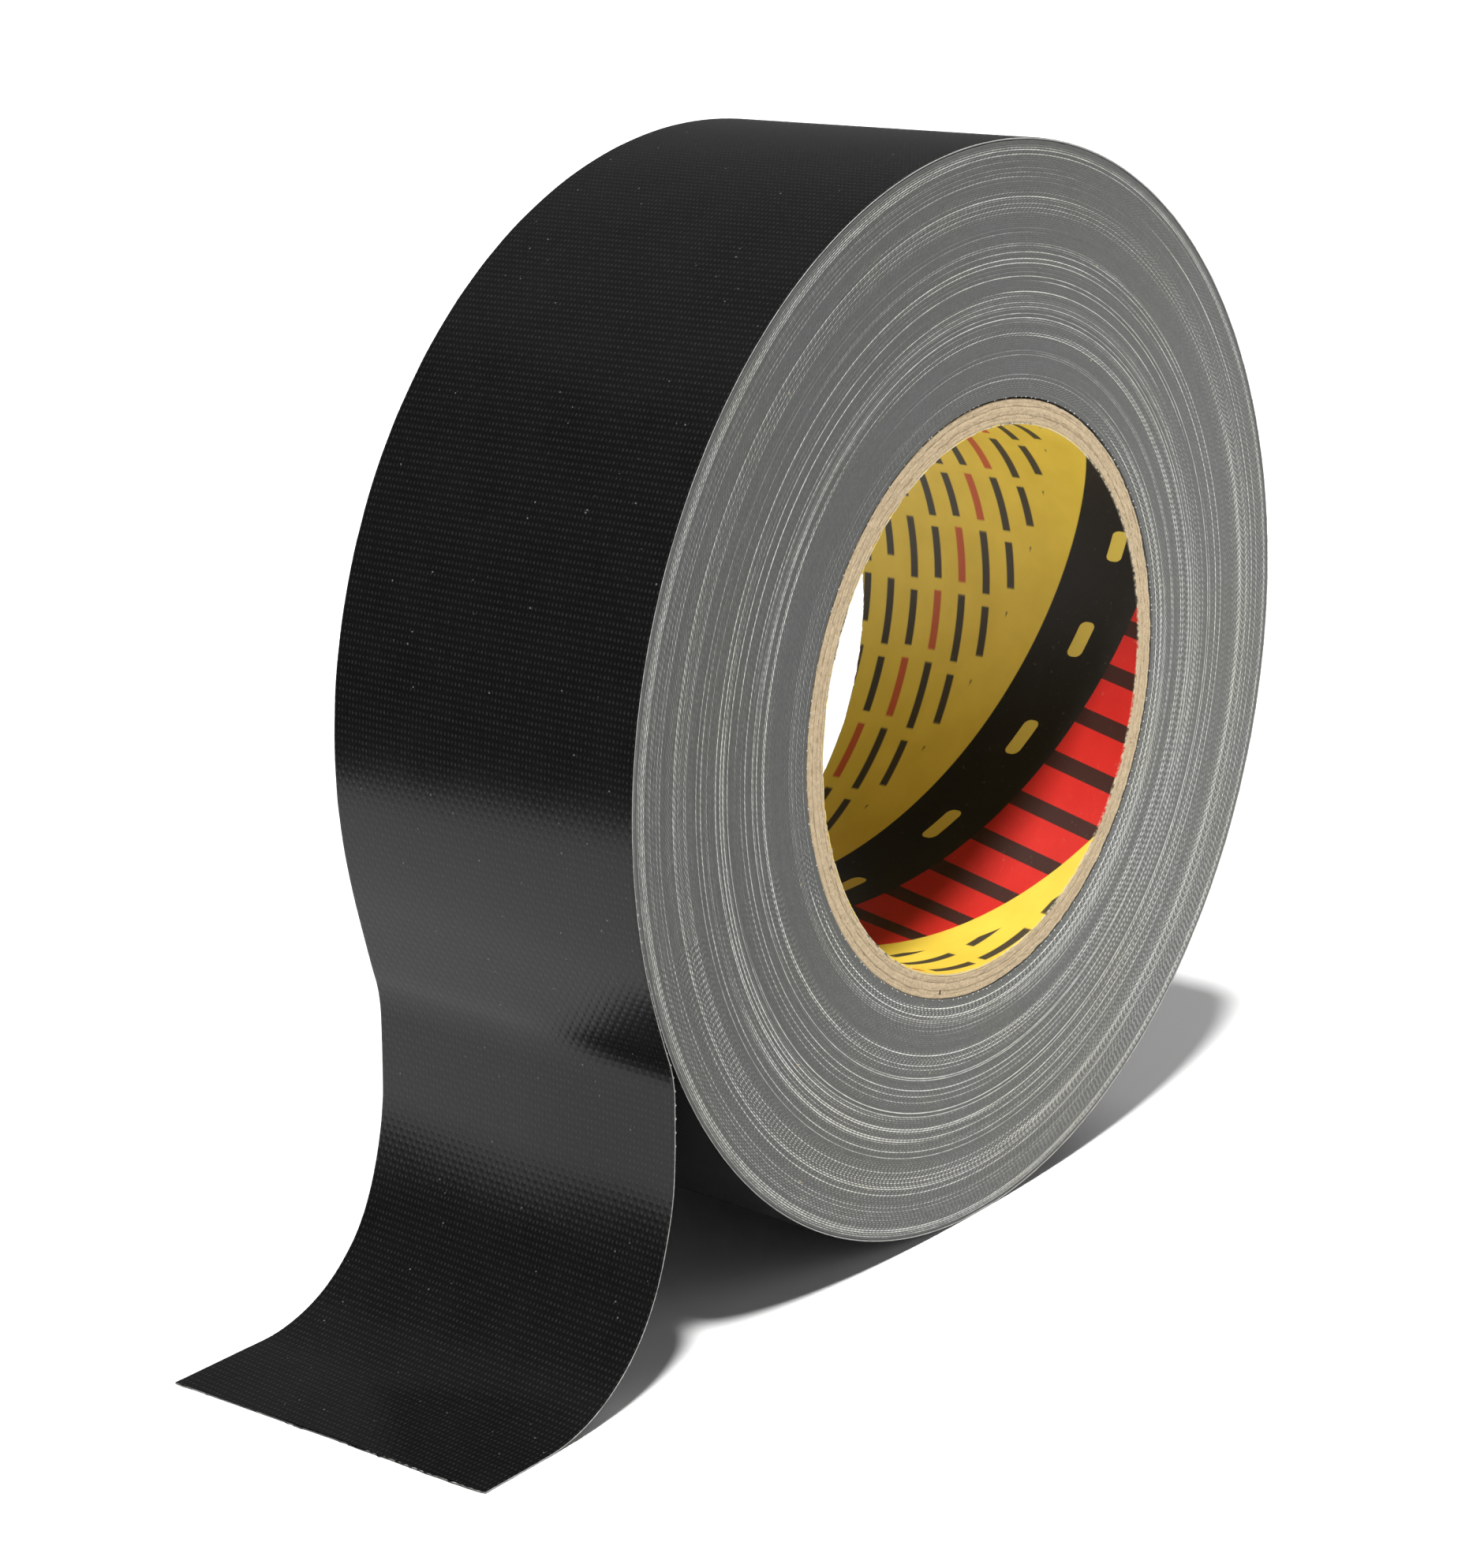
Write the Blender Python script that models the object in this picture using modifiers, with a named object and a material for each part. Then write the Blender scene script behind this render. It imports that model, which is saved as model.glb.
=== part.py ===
"""A roll of cloth-backed adhesive tape on a spiral-wound board core.

The roll stands on its round edge with its axis along Y. The last turn leaves
the roll at the peel line on the -X side, hangs down and turns out along the
floor. The origin is on the floor, straight below the roll's axis.

The free tail bends anywhere along its length. It is divided into flat lengths,
each hinged to the one before along the middle of the tape's thickness.
"""

import math

import bmesh
import bpy
from mathutils import Matrix, Vector

# Tape, in metres
TAPE_WIDTH = 0.050
FILM_THICKNESS = 0.00007
CLOTH_THICKNESS = 0.00006
ADHESIVE_THICKNESS = 0.00009
LAYER_GAP = 0.00002
TAPE_THICKNESS = FILM_THICKNESS + CLOTH_THICKNESS + ADHESIVE_THICKNESS + 2 * LAYER_GAP

# Roll
ROLL_RADIUS = 0.0760
TURN_GAP = 0.00003
TURN_PITCH = TAPE_THICKNESS + TURN_GAP
FACETS = 60
FACET_ANGLE = math.tau / FACETS
PEEL_BELOW_LEVEL = math.radians(15)
PEEL_ANGLE = math.pi + PEEL_BELOW_LEVEL

# Board core
BORE_RADIUS = 0.0381
CORE_WIDTH = 0.0498
LINER_THICKNESS = 0.00020
PLY_THICKNESS = 0.00050
PLY_COUNT = 6
PLY_GAP = 0.00003
BOARD_STRIP_WIDTH = 0.120
SEAM_WIDTH = 0.00035
SEAM_END_MARGIN = 0.0007
SEAM_TURN_PER_PLY = math.tau * 0.382
SEAM_STEPS = 12
PACK_GAP = 0.00005

# Free tail: its shape at rest, as lengths that turn about an axis along Y
LIFTED_LENGTH = 0.0092
FOLLOWING_LENGTH = 0.0030
FOLLOWING_BEND = math.radians(3)
LEAVING_RADIUS = 0.018
HANGING_BEND_RADIUS = 0.033
HANGING_BEND = math.radians(33)
FLOOR_BEND_RADIUS = 0.022
FLOOR_LENGTH = 0.0129
TAIL_PIECES = 9
HINGE_GAP = 0.0002

# Heights and places that follow from the dimensions above
TURN_TO_BOTTOM = (PEEL_ANGLE + math.pi / 2) / math.tau
RADIUS_AT_BOTTOM = ROLL_RADIUS - TURN_PITCH * TURN_TO_BOTTOM
AXIS_HEIGHT = RADIUS_AT_BOTTOM * math.cos(FACET_ANGLE / 2)

# How the meshes are made
MERGE_DISTANCE = 0.00001
SMOOTHED_EDGE = math.radians(30)


def clear_scene():
    for thing in list(bpy.data.objects):
        bpy.data.objects.remove(thing, do_unlink=True)


def new_collection(name):
    collection = bpy.data.collections.new(name)
    bpy.context.scene.collection.children.link(collection)
    return collection


def new_material(name, colour, roughness, metallic=0.0):
    material = bpy.data.materials.new(name)
    material.use_nodes = True
    shader = material.node_tree.nodes["Principled BSDF"]
    shader.inputs["Base Color"].default_value = (*colour, 1.0)
    shader.inputs["Roughness"].default_value = roughness
    shader.inputs["Metallic"].default_value = metallic
    return material


def new_object(name, data, collection, parent=None, material=None):
    thing = bpy.data.objects.new(name, data)
    collection.objects.link(thing)
    thing.parent = parent
    if material:
        data.materials.append(material)
    return thing


def mesh_from(name, bm):
    mesh = bpy.data.meshes.new(name)
    bm.to_mesh(mesh)
    bm.free()
    return mesh


def shade_round(thing):
    thing.data.shade_smooth()
    thing.data.set_sharp_from_angle(angle=SMOOTHED_EDGE)


def layers():
    """The tape's layers, from its outer face inwards."""
    return (
        ("film", FILM_THICKNESS),
        ("cloth", CLOTH_THICKNESS),
        ("adhesive", ADHESIVE_THICKNESS),
    )


# Turned rings and spirals lie in the roll's own frame: Z along the axis, X and Y across it.


def turned_ring(name, inner_radius, outer_radius, width, collection, parent, material):
    """A tube: its section, run down the outer side, turned about Z."""
    bm = bmesh.new()
    half = width / 2
    section = (
        (outer_radius, half),
        (outer_radius, -half),
        (inner_radius, -half),
        (inner_radius, half),
    )
    corners = [bm.verts.new((radius, 0, along)) for radius, along in section]
    for corner, following in zip(corners, corners[1:] + corners[:1]):
        bm.edges.new((corner, following))
    ring = new_object(name, mesh_from(name, bm), collection, parent, material)
    ring.rotation_euler.z = FACET_ANGLE / 2
    turn = ring.modifiers.new("Turn", "SCREW")
    turn.steps = turn.render_steps = FACETS
    turn.use_merge_vertices = True
    turn.merge_threshold = MERGE_DISTANCE
    return ring


def seam_blade(name, middle_radius, start_angle, collection, parent):
    """A helical blade that parts a ply along the butt seam of its board strip."""
    lead = math.sqrt((math.tau * middle_radius) ** 2 - BOARD_STRIP_WIDTH**2)
    advance = math.tau * middle_radius * BOARD_STRIP_WIDTH / lead
    reach = CORE_WIDTH + 2 * SEAM_END_MARGIN
    overlap = 2 * PLY_THICKNESS
    bm = bmesh.new()
    inner = bm.verts.new((middle_radius - overlap, 0, -reach / 2))
    outer = bm.verts.new((middle_radius + overlap, 0, -reach / 2))
    bm.edges.new((inner, outer))
    blade = new_object(name, mesh_from(name, bm), collection, parent)
    blade.rotation_euler.z = start_angle
    sweep = blade.modifiers.new("Sweep", "SCREW")
    sweep.steps = sweep.render_steps = SEAM_STEPS
    sweep.angle = math.tau * reach / advance
    sweep.screw_offset = reach
    thicken = blade.modifiers.new("Thicken", "SOLIDIFY")
    thicken.thickness = SEAM_WIDTH
    thicken.offset = 0
    blade.hide_render = True
    blade.display_type = "WIRE"
    return blade


def spiral_point(turn_part, depth=0.0):
    """A corner of the last turn, at a depth below its outer face. The turn starts at the peel line."""
    angle = PEEL_ANGLE - math.tau * turn_part
    radius = ROLL_RADIUS - TURN_PITCH * turn_part - depth
    return Vector((radius * math.cos(angle), radius * math.sin(angle), 0))


def spiral_points(depth, end_trim=0.0):
    """The corners of one whole turn, with its two ends drawn back along their facets."""
    points = [spiral_point(step / FACETS, depth) for step in range(FACETS + 1)]
    if end_trim:
        points[0] += (points[1] - points[0]).normalized() * end_trim
        points[-1] += (points[-2] - points[-1]).normalized() * end_trim
    return points


def spiral_layer(name, depth, thickness, collection, parent, material):
    """One layer of the last turn: a ribbon along the spiral, thickened inwards."""
    bm = bmesh.new()
    half = Vector((0, 0, TAPE_WIDTH / 2))
    rungs = [
        (bm.verts.new(point - half), bm.verts.new(point + half))
        for point in spiral_points(depth, HINGE_GAP / 2)
    ]
    for (low, high), (next_low, next_high) in zip(rungs, rungs[1:]):
        bm.faces.new((low, high, next_high, next_low))
    layer = new_object(name, mesh_from(name, bm), collection, parent, material)
    thicken = layer.modifiers.new("Thicken", "SOLIDIFY")
    thicken.thickness = thickness
    thicken.offset = -1
    thicken.use_even_offset = True
    return layer


def add_cyclic_outline(curve, points):
    spline = curve.splines.new("POLY")
    spline.points.add(len(points) - 1)
    for corner, point in zip(spline.points, points):
        corner.co = (point.x, point.y, 0, 1)
    spline.use_cyclic_u = True


def wound_pack(name, inner_radius, collection, parent, material):
    """All the turns under the last one: a spiral outline with a step of one turn at the peel line."""
    curve = bpy.data.curves.new(name, "CURVE")
    curve.dimensions = "2D"
    curve.fill_mode = "BOTH"
    curve.extrude = TAPE_WIDTH / 2
    add_cyclic_outline(curve, spiral_points(TAPE_THICKNESS + TURN_GAP))
    corners = [
        Matrix.Rotation(FACET_ANGLE * (step + 0.5), 3, "Z") @ Vector((inner_radius, 0, 0))
        for step in range(FACETS)
    ]
    add_cyclic_outline(curve, corners)
    return new_object(name, curve, collection, parent, material)


def tail_outline():
    """The tail's middle line at rest: the peel point, its heading, and (length, turn) sections.

    A heading is an angle about Y: 0 is along +X, 90 degrees straight down, 180 degrees along -X.
    """
    middle_radius = ROLL_RADIUS - TAPE_THICKNESS / 2
    start = Vector(
        (
            middle_radius * math.cos(PEEL_ANGLE),
            0,
            AXIS_HEIGHT + middle_radius * math.sin(PEEL_ANGLE),
        )
    )
    heading = math.pi / 2 - PEEL_BELOW_LEVEL
    following_radius = FOLLOWING_LENGTH / FOLLOWING_BEND
    leaving_bend = PEEL_BELOW_LEVEL + FOLLOWING_BEND
    floor_bend = math.pi / 2 - HANGING_BEND
    drop = start.z - TAPE_THICKNESS / 2
    curved_drop = (
        LIFTED_LENGTH * math.sin(heading)
        + following_radius * (math.sin(leaving_bend) - math.cos(heading))
        + LEAVING_RADIUS * math.sin(leaving_bend)
        + HANGING_BEND_RADIUS * math.sin(HANGING_BEND)
        + FLOOR_BEND_RADIUS * (1 - math.sin(HANGING_BEND))
    )
    sections = (
        (LIFTED_LENGTH, 0),
        (FOLLOWING_LENGTH, -FOLLOWING_BEND),
        (LEAVING_RADIUS * leaving_bend, leaving_bend),
        (drop - curved_drop, 0),
        (HANGING_BEND_RADIUS * HANGING_BEND, HANGING_BEND),
        (FLOOR_BEND_RADIUS * floor_bend, floor_bend),
        (FLOOR_LENGTH, 0),
    )
    return start, heading, sections


def step_along(length, turn, heading):
    """The move along a straight or an arc that starts at a heading."""
    if not turn:
        return length * Vector((math.cos(heading), 0, -math.sin(heading)))
    radius = length / turn
    across = math.sin(heading + turn) - math.sin(heading)
    down = math.cos(heading + turn) - math.cos(heading)
    return radius * Vector((across, 0, down))


def point_on_tail(distance):
    point, heading, sections = tail_outline()
    for length, turn in sections:
        if distance <= length:
            return point + step_along(distance, turn * distance / length, heading)
        point = point + step_along(length, turn, heading)
        heading += turn
        distance -= length
    return point


def tail_hinges():
    """The hinge lines' places, from the peel line to the cut end."""
    _, _, sections = tail_outline()
    total = sum(length for length, _ in sections)
    return [point_on_tail(total * step / TAIL_PIECES) for step in range(TAIL_PIECES + 1)]


def box_mesh(name, size, centre):
    bm = bmesh.new()
    placed = Matrix.Translation(centre) @ Matrix.Diagonal((*size, 1))
    bmesh.ops.create_cube(bm, size=1, matrix=placed)
    return mesh_from(name, bm)


def build_core(collection, cutters, roll_axis, materials):
    inner = BORE_RADIUS
    outer = inner + LINER_THICKNESS
    turned_ring(
        "core_liner", inner, outer, CORE_WIDTH, collection, roll_axis, materials["liner"]
    )
    for ply in range(1, PLY_COUNT + 1):
        inner = outer + PLY_GAP
        outer = inner + PLY_THICKNESS
        name = f"core_ply_{ply}"
        ring = turned_ring(
            name, inner, outer, CORE_WIDTH, collection, roll_axis, materials["board"]
        )
        middle = (inner + outer) / 2
        blade = seam_blade(f"{name}_seam", middle, ply * SEAM_TURN_PER_PLY, cutters, roll_axis)
        part_seam = ring.modifiers.new("Seam", "BOOLEAN")
        part_seam.object = blade
        part_seam.operation = "DIFFERENCE"
        part_seam.solver = "EXACT"
    return outer


def build_wound_tape(core_radius, collection, roll_axis, materials):
    wound_pack("wound_tape", core_radius + PACK_GAP, collection, roll_axis, materials["pack"])
    depth = 0.0
    for layer, thickness in layers():
        spiral_layer(
            f"outer_turn_{layer}", depth, thickness, collection, roll_axis, materials[layer]
        )
        depth += thickness + LAYER_GAP


def build_tail(collection, materials):
    """Each length hangs from an empty on its hinge line, parented to the one before."""
    hinges = tail_hinges()
    parent, parent_heading, parent_length = None, 0.0, 0.0
    for number, (start, end) in enumerate(zip(hinges, hinges[1:]), 1):
        chord = end - start
        heading = math.atan2(-chord.z, chord.x)
        hinge = new_object(f"tail_hinge_{number}", None, collection, parent)
        hinge.empty_display_size = TAPE_WIDTH / 4
        hinge.location = (parent_length, 0, 0) if parent else start
        hinge.rotation_euler.y = heading - parent_heading
        depth = 0.0
        for layer, thickness in layers():
            size = (chord.length - HINGE_GAP, TAPE_WIDTH, thickness)
            height = depth + thickness / 2 - TAPE_THICKNESS / 2
            name = f"tail_{number}_{layer}"
            mesh = box_mesh(name, size, (chord.length / 2, 0, height))
            new_object(name, mesh, collection, hinge, materials[layer])
            depth += thickness + LAYER_GAP
        parent, parent_heading, parent_length = hinge, heading, chord.length


def make_materials():
    return {
        "liner": new_material("printed_liner", (0.72, 0.52, 0.06), 0.35),
        "board": new_material("kraft_board", (0.55, 0.40, 0.24), 0.9),
        "pack": new_material("tape_edges", (0.16, 0.165, 0.17), 0.6),
        "film": new_material("black_film", (0.012, 0.012, 0.014), 0.35),
        "cloth": new_material("woven_cloth", (0.45, 0.45, 0.43), 0.9),
        "adhesive": new_material("adhesive", (0.10, 0.105, 0.11), 0.5),
    }


def main():
    clear_scene()
    materials = make_materials()
    collection = new_collection("duct_tape_roll")
    cutters = new_collection("cutters")
    roll_axis = new_object("roll_axis", None, collection)
    roll_axis.location.z = AXIS_HEIGHT
    roll_axis.rotation_euler.x = math.pi / 2
    core_radius = build_core(collection, cutters, roll_axis, materials)
    build_wound_tape(core_radius, collection, roll_axis, materials)
    build_tail(collection, materials)
    for thing in collection.objects:
        if thing.type == "MESH" and not thing.name.startswith("tail"):
            shade_round(thing)


main()
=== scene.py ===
import math

import bpy
import numpy as np
from mathutils import Matrix, Vector


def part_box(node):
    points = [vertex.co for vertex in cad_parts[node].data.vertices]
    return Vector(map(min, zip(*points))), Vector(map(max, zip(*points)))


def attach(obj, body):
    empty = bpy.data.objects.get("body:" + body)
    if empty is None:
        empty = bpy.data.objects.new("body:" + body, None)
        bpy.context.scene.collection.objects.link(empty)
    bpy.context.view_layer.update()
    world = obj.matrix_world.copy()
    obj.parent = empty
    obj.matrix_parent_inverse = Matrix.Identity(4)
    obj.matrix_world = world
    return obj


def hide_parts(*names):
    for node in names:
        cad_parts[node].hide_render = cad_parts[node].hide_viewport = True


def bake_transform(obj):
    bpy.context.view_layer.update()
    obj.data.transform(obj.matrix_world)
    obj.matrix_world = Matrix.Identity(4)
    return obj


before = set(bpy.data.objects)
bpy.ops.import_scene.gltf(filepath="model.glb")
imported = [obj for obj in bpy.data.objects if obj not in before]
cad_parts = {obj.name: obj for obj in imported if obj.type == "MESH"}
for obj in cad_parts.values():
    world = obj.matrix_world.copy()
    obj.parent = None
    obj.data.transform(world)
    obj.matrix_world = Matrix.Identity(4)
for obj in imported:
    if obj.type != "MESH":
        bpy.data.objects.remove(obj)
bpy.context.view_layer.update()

MM = 0.001
TAU = 2 * math.pi
random = np.random.RandomState(20261)


# ---------------------------------------------------------------- sizes, as the CAD part has them
core_low, core_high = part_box("core_liner")
AXIS_Z = (core_low.z + core_high.z) / 2
HALF_WIDTH = 25.0 * MM
ROLL_RADIUS = 76.0 * MM
FILM, CLOTH, ADHESIVE, LAYER_GAP = 0.07 * MM, 0.06 * MM, 0.09 * MM, 0.02 * MM
THICKNESS = FILM + CLOTH + ADHESIVE + 2 * LAYER_GAP
PITCH = 0.29 * MM                      # one turn further out
PEEL = math.radians(195)               # where the tail leaves the roll
FIRST = PEEL - TAU                     # where the last turn starts
BORE_RADIUS = 38.1 * MM
LINER = 0.2 * MM
PLY, PLY_GAP, PLIES = 0.5 * MM, 0.03 * MM, 6
CORE_HALF = 24.9 * MM
TAIL_PIECES = 9
TURNS = 117                            # turns in the wound pack
PACK_INSIDE = 41.54 * MM
PACK_OUTSIDE = ROLL_RADIUS - THICKNESS - 0.03 * MM - PITCH
TURN_PITCH = (PACK_OUTSIDE - PACK_INSIDE) / TURNS
THREAD_STEP = 0.92                     # mm between the thread ends along a turn
ROW_MM = 0.9137                        # weave rows along the tape, as the materials count them
COLUMN_MM = 1.24                       # two threads across the tape: the weave alternates
STRIP_SLOPE = 0.48                     # the liner strip's helix, on the flattened bore
STRIP_COS = 1 / math.hypot(1, STRIP_SLOPE)


# ---------------------------------------------------------------- camera, fitted to the photo's outlines
CAMERA_PLACE = (-0.345455, -0.255734, 0.186235)
CAMERA_AZIMUTH, CAMERA_ELEVATION = math.radians(-51.40), math.radians(16.45)
camera_data = bpy.data.cameras.new("camera")
camera_data.sensor_fit = "AUTO"
camera_data.sensor_width = 36
camera_data.lens = 71.82
camera_data.clip_end = 60
camera = bpy.data.objects.new("camera", camera_data)
bpy.context.scene.collection.objects.link(camera)
back = Vector((
    math.sin(CAMERA_AZIMUTH) * math.cos(CAMERA_ELEVATION),
    -math.cos(CAMERA_AZIMUTH) * math.cos(CAMERA_ELEVATION),
    math.sin(CAMERA_ELEVATION),
))
right = Vector((math.cos(CAMERA_AZIMUTH), math.sin(CAMERA_AZIMUTH), 0))
turned = Matrix((right, back.cross(right), back)).transposed().to_4x4()
camera.matrix_world = Matrix.Translation(CAMERA_PLACE) @ turned
bpy.context.scene.camera = camera
bpy.context.scene.view_settings.view_transform = "Standard"


# ---------------------------------------------------------------- materials
class Paint:
    """A material and the few node calls that the surfaces share."""

    def __init__(self, name):
        self.material = bpy.data.materials.new(name)
        self.material.use_nodes = True
        self.tree = self.material.node_tree
        self.tree.nodes.clear()

    def add(self, kind, inputs=(), **settings):
        node = self.tree.nodes.new("ShaderNode" + kind)
        for key, value in settings.items():
            setattr(node, key, value)
        for key, value in dict(inputs).items():
            if isinstance(value, bpy.types.NodeSocket):
                self.tree.links.new(value, node.inputs[key])
            else:
                node.inputs[key].default_value = value
        return node

    def math(self, operation, *values):
        return self.add("Math", dict(enumerate(values)), operation=operation).outputs[0]

    def clamp(self, value, low=0.0, high=1.0):
        return self.add("Clamp", {0: value, 1: low, 2: high}).outputs[0]

    def step(self, value, low, high):
        """0 below low, 1 above high, smooth between."""
        return self.add(
            "MapRange", {0: value, 1: low, 2: high}, interpolation_type="SMOOTHSTEP"
        ).outputs[0]

    def scale(self, vector, by):
        return self.add("VectorMath", {0: vector, 1: by}, operation="MULTIPLY").outputs[0]

    def attribute(self, name, output="Vector"):
        return self.add("Attribute", attribute_name=name).outputs[output]

    def place(self):
        """Place in the row frame at rest, in millimetres."""
        return self.scale(self.add("TexCoord").outputs["Object"], (1000, 1000, 1000))

    def split(self, vector):
        return self.add("SeparateXYZ", {0: vector}).outputs

    def noise(self, vector, scale, detail=3.0, roughness=0.55):
        return self.add(
            "TexNoise",
            {"Vector": vector, "Scale": scale, "Detail": detail, "Roughness": roughness},
        ).outputs[0]

    def cells(self, vector, scale):
        return self.add("TexVoronoi", {"Vector": vector, "Scale": scale}).outputs

    def ramp(self, value, stops):
        node = self.add("ValToRGB", {0: value})
        elements = node.color_ramp.elements
        while len(elements) < len(stops):
            elements.new(0.5)
        for element, (at, colour) in zip(elements, stops):
            element.position = at
            if not hasattr(colour, "__len__"):
                colour = (colour, colour, colour)
            element.color = (*colour, 1)
        return node.outputs[0]

    def mix(self, share, a, b, blend_type="MIX"):
        node = self.add("Mix", {0: share}, data_type="RGBA", blend_type=blend_type)
        for socket, value in ((6, a), (7, b)):
            if isinstance(value, bpy.types.NodeSocket):
                self.tree.links.new(value, node.inputs[socket])
            else:
                node.inputs[socket].default_value = (*value, 1)
        return node.outputs[2]

    def bump(self, height, distance, strength=1.0, normal=None):
        inputs = {"Height": height, "Distance": distance, "Strength": strength}
        if normal is not None:
            inputs["Normal"] = normal
        return self.add("Bump", inputs).outputs[0]

    def finish(self, colour, roughness, normal, **sockets):
        inputs = {"Base Color": colour, "Roughness": roughness, "Normal": normal}
        inputs.update({k.replace("_", " "): v for k, v in sockets.items()})
        shader = self.add("BsdfPrincipled", inputs)
        output = self.add("OutputMaterial")
        self.tree.links.new(shader.outputs[0], output.inputs[0])
        return self.material


def film_paint():
    """Black film: a pit at each thread crossing and a lighter dot there as painted highlight, pale specks,
    and a slow drift of colour.
    """
    p = Paint("black_film")
    tape = p.scale(p.attribute("tape"), (1000, 1000, 1000))
    s, y, _ = p.split(tape)
    # threads: pits at every second crossing, staggered row to row, and lighter dots at every one, a painted
    # highlight where the weave's bumps catch the light
    across = p.math("COSINE", p.math("MULTIPLY", y, TAU / COLUMN_MM))
    twice = p.math("COSINE", p.math("MULTIPLY", y, TAU / COLUMN_MM * 2))
    row = p.math("COSINE", p.math("MULTIPLY", s, math.pi / ROW_MM))
    narrow = p.math("POWER", p.math("ABSOLUTE", row), 4.0)
    lattice = p.math("MAXIMUM", p.math("MULTIPLY", across, p.math("SIGN", row)), 0.0)
    dots = p.math("MULTIPLY", p.math("POWER", lattice, 1.6), narrow)
    crossing = p.math("POWER", p.math("ADD", p.math("MULTIPLY", twice, 0.5), 0.5), 2.5)
    uneven = p.noise(tape, 0.9, 2)
    shown = p.math("ADD", p.math("MULTIPLY", p.step(uneven, 0.25, 0.75), 0.8), 0.2)
    painted_highlight_dots = p.math("MULTIPLY", p.math("MULTIPLY", crossing, narrow), shown)
    # fine grain, slow drift, and a pale speck in some of the cells
    grain = p.noise(tape, 7.0, 4, 0.6)
    drift = p.noise(tape, 0.12, 3)
    speck_cells = p.cells(tape, 0.55)
    chosen = p.step(p.split(speck_cells["Color"])[0], 0.70, 0.72)
    speck = p.math("MULTIPLY", chosen, p.step(speck_cells["Distance"], 0.085, 0.04))
    colour = p.mix(drift, (0.0042, 0.0042, 0.0045), (0.0072, 0.0072, 0.0070))
    # painted highlight: the base colour is lighter at the thread crossings
    colour = p.mix(painted_highlight_dots, colour, (0.029, 0.029, 0.028))
    colour = p.mix(p.math("MULTIPLY", speck, 0.8), colour, (0.16, 0.16, 0.15))
    roughness = p.math(
        "ADD", p.math("MULTIPLY", grain, 0.08), p.math("ADD", p.math("MULTIPLY", drift, 0.06), 0.14)
    )
    height = p.math("ADD", p.math("MULTIPLY", dots, -0.6), p.math("MULTIPLY", grain, 0.25))
    normal = p.bump(height, 0.00002, 0.8)
    return p.finish(colour, roughness, normal, IOR=1.35)


def cloth_paint():
    """The cut ends of the cloth: pale fibres, soiled in places."""
    p = Paint("cloth_threads")
    tape = p.scale(p.attribute("tape"), (1000, 1000, 1000))
    fibre = p.noise(p.scale(tape, (1.0, 6.0, 6.0)), 3.0, 5, 0.7)
    soil = p.noise(tape, 0.7, 3)
    colour = p.ramp(
        fibre,
        [(0.25, (0.13, 0.13, 0.12)), (0.5, (0.34, 0.34, 0.32)), (0.8, (0.62, 0.62, 0.60))],
    )
    colour = p.mix(p.step(soil, 0.45, 0.75), colour, (0.16, 0.155, 0.14))
    return p.finish(colour, p.math("ADD", p.math("MULTIPLY", fibre, 0.2), 0.6), p.bump(fibre, 0.00003, 0.8))


def adhesive_paint():
    """Grey adhesive, with the cloth's weave showing through it."""
    p = Paint("grey_adhesive")
    tape = p.scale(p.attribute("tape"), (1000, 1000, 1000))
    s, y, _ = p.split(tape)
    warp = p.math("SINE", p.math("MULTIPLY", y, TAU / COLUMN_MM * 2))
    weft = p.math("SINE", p.math("MULTIPLY", s, TAU / ROW_MM))
    weave = p.math("ADD", p.math("MULTIPLY", p.math("MAXIMUM", warp, weft), 0.5), 0.5)
    mottle = p.noise(tape, 0.35, 4, 0.6)
    grain = p.noise(tape, 5.0, 3)
    height = p.math("ADD", weave, p.math("MULTIPLY", grain, 0.5))
    colour = p.ramp(mottle, [(0.3, (0.115, 0.118, 0.115)), (0.7, (0.175, 0.178, 0.17))])
    colour = p.mix(p.math("MULTIPLY", weave, 0.35), colour, (0.25, 0.25, 0.24))
    roughness = p.math("ADD", p.math("MULTIPLY", mottle, 0.3), 0.25)
    return p.finish(colour, roughness, p.bump(height, 0.00003, 0.6))


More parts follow.
